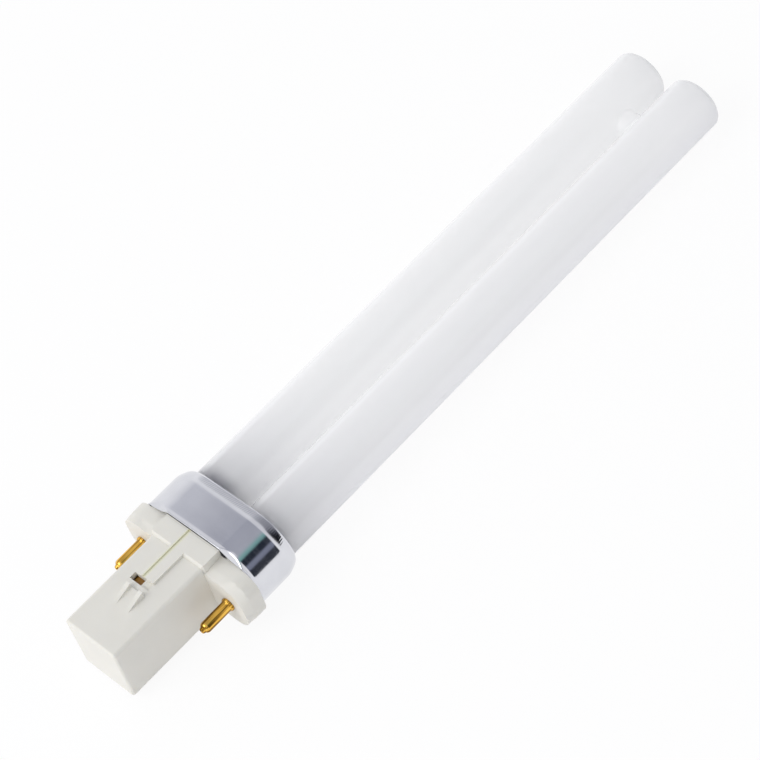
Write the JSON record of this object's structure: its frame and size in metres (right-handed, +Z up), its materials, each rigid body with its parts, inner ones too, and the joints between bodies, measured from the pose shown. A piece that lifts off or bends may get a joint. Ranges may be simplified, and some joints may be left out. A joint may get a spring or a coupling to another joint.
{
  "type": "uv fluorescent bulb",
  "caption": "Plug-in fluorescent bulb with parallel white glass tubes bridged near the tips, a crimped metal sleeve and a plastic cap with a latch post and contact pins.",
  "frame": {"origin": "on the lamp's axis, at the plane of the cap's seating face", "axes": "+Y along the tubes to their tips, X along the row of contact pins, +Z up out of a broad side"},
  "size_m": [0.0318, 0.1671, 0.0174],
  "materials": {
    "coated_glass": "gloss",
    "bare_aluminium": "bright",
    "cap_plastic": "satin",
    "pin_brass": "bright",
    "cement": "matte",
    "starter_glass": "gloss",
    "capacitor_resin": "gloss",
    "lead_wire": "satin"
  },
  "bodies": {
    "root": {"glass_tube": "coated_glass", "metal_sleeve": "bare_aluminium", "plastic_cap": "cap_plastic", "left_contact_pin": "pin_brass", "right_contact_pin": "pin_brass", "tube_cement": "cement", "glow_starter": "starter_glass", "starter_capacitor": "capacitor_resin", "left_pin_lead": "lead_wire", "right_pin_lead": "lead_wire", "left_starter_lead": "lead_wire", "right_starter_lead": "lead_wire"}
  },
  "joints": []
}
